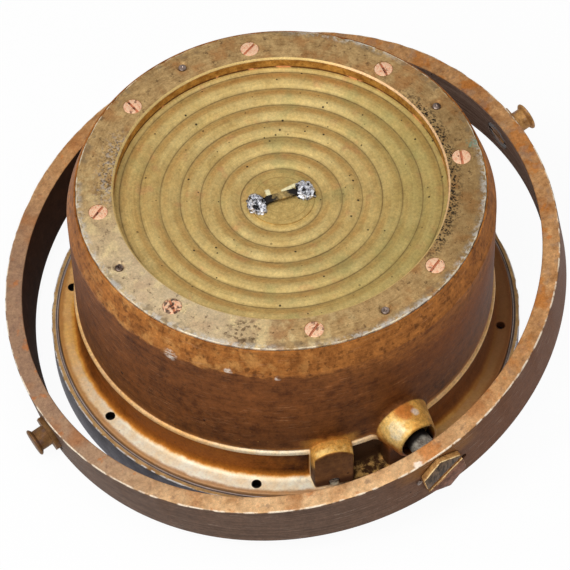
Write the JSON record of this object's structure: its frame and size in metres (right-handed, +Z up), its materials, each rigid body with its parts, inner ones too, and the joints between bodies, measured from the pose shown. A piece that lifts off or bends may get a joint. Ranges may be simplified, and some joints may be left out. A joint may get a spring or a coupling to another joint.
{
  "type": "gimballed liquid compass",
  "caption": "Drum-shaped liquid compass bowl on its glazed bezel, with a corrugated diaphragm under a screwed clamp ring and a gimbal ring with trunnions.",
  "frame": {"origin": "on the resting surface, under the bowl's axis, at the face of the bezel", "axes": "+Z up along the bowl's axis, towards the diaphragm side; +X along the trunnion axis, towards the raised trunnion; +Y along the pivot axis, towards the rear"},
  "size_m": [0.2922, 0.2812, 0.1122],
  "materials": {
    "bowl_metal": "aged dark brown lacquer over brass, worn through on edges",
    "ring_brass": "old brass, pitted and tarnished",
    "copper_screws": "freshly turned copper-coloured alloy",
    "dowel_steel": "dull",
    "sheet_brass": "spun sheet, satin",
    "rubber": "matt",
    "plain_brass": "satin",
    "solder": "soft grey metal, dull",
    "bezel_metal": "bronzed blue grey, brass at the edges",
    "glass": "clear",
    "bush_bronze": "plain",
    "gimbal_metal": "bronzed brown, worn on the edges",
    "card_white": "painted white, satin",
    "jewel_red": "polished"
  },
  "bodies": {
    "bowl": {"bowl": "bowl_metal", "clamp_ring": "ring_brass", "clamp_screws": "copper_screws", "ring_dowels": "dowel_steel", "diaphragm": "sheet_brass", "diaphragm_gasket": "rubber", "centre_disc": "sheet_brass", "centre_bar": "plain_brass", "solder_joints": "solder", "bezel_ring": "bezel_metal", "bezel_screws": "plain_brass", "glass": "glass", "glass_packing": "rubber", "filler_plug": "dowel_steel", "filler_washer": "solder", "pivot_bushes": "bush_bronze", "bridge": "plain_brass", "bridge_screws": "plain_brass", "pivot_post": "plain_brass", "post_nut": "plain_brass", "pivot_point": "dowel_steel", "lubber_bracket": "plain_brass", "lubber_screws": "dowel_steel"},
    "gimbal": {"gimbal_ring": "gimbal_metal", "pivot_screw_front": "gimbal_metal", "pivot_screw_rear": "gimbal_metal", "keeper_pins": "dowel_steel", "trunnion_left": "gimbal_metal", "trunnion_right": "gimbal_metal", "trunnion_nuts": "gimbal_metal"},
    "card": {"card_disc": "card_white", "card_ring": "plain_brass", "float_base": "sheet_brass", "float_dome": "sheet_brass", "jewel_cup": "plain_brass", "jewel": "jewel_red", "magnet_frame": "plain_brass", "magnet_clips": "plain_brass", "magnets": "dowel_steel"}
  },
  "joints": [
    {"name": "gimbal_tilt", "type": "hinge", "parent": "bowl", "child": "gimbal", "pos_m": [0, 0, 0.04025], "axis": [0, 1, 0], "continuous": true},
    {"name": "card_turn", "type": "hinge", "parent": "bowl", "child": "card", "pos_m": [0, 0, 0.0292], "axis": [0, 0, 1], "continuous": true}
  ]
}
